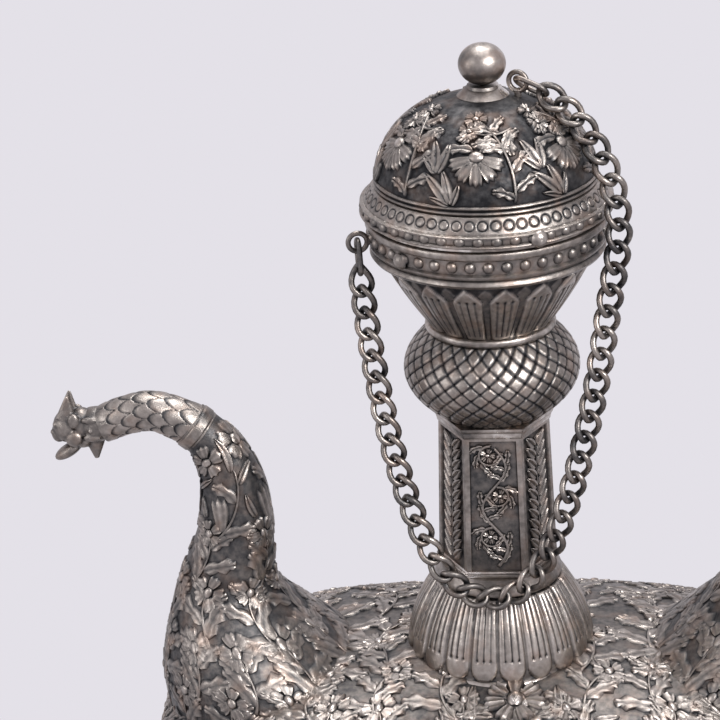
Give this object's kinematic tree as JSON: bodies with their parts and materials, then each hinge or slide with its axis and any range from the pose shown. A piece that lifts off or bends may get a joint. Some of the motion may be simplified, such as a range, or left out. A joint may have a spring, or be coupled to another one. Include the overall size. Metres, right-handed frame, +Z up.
{
  "type": "coffee pot",
  "caption": "Tall-necked oval metal coffee pot with a beast-headed spout, loop handle, chased relief and a lift-off lid tethered by a chain.",
  "frame": {"origin": "middle of the flat sole, on the axis of the neck", "axes": "+Z up the neck, the spout points to -X, +Y is away from the front"},
  "size_m": [0.2834, 0.14, 0.304],
  "materials": {
    "chased_silver": "oxidised silver plate with relief, worn bright on the high spots",
    "plain_silver": "plain oxidised silver plate, rubbed",
    "chain": "darkened wire, rubbed bright"
  },
  "bodies": {
    "pot": {"foot_ring": "chased_silver", "foot_plate": "plain_silver", "body_lower": "chased_silver", "body_upper": "chased_silver", "neck_bell": "chased_silver", "neck_plinth": "plain_silver", "neck_column": "chased_silver", "neck_cornice": "plain_silver", "knop": "chased_silver", "knop_collar": "plain_silver", "cup": "chased_silver", "cup_rim_band": "chased_silver", "cup_rivet": "plain_silver", "cup_chain_eye": "chain", "spout_root": "chased_silver", "spout_collar": "plain_silver", "spout_neck": "chased_silver", "spout_head": "chased_silver", "handle_root": "chased_silver", "handle_collar": "plain_silver", "handle_tail": "chased_silver", "cup_jump_link": "chain", "chain_cup_run": "chain"},
    "lid": {"lid_seat_ring": "plain_silver", "lid_plug": "plain_silver", "lid_bead_band": "chased_silver", "lid_slope_ring": "chased_silver", "lid_dome": "chased_silver", "lid_rivet": "plain_silver", "lid_chain_eye": "chain", "finial_stem": "plain_silver", "finial_ball": "plain_silver", "lid_jump_link": "chain", "chain_lid_run": "chain"},
    "lid_swing": {"chain_lid_swing": "chain"},
    "cup_swing": {"chain_cup_swing": "chain"}
  },
  "joints": [
    {"name": "lid_lift", "type": "slide", "parent": "pot", "child": "lid", "axis": [0, 0, 1], "range_m": [0, 0.024]},
    {"name": "lid_chain_swing", "type": "hinge", "parent": "lid", "child": "lid_swing", "pos_m": [0.02147, -0.02508, 0.15904], "axis": [0, 1, 0], "range_deg": [-26, 0]},
    {"name": "cup_chain_swing", "type": "hinge", "parent": "pot", "child": "cup_swing", "pos_m": [-0.02639, -0.02206, 0.16397], "axis": [0, 1, 0], "range_deg": [-33, 0]}
  ],
  "couplings": [
    {"joint": "lid_chain_swing", "follows": "lid_lift", "rad_per_m": -17.4},
    {"joint": "cup_chain_swing", "follows": "lid_lift", "rad_per_m": -22.5}
  ]
}
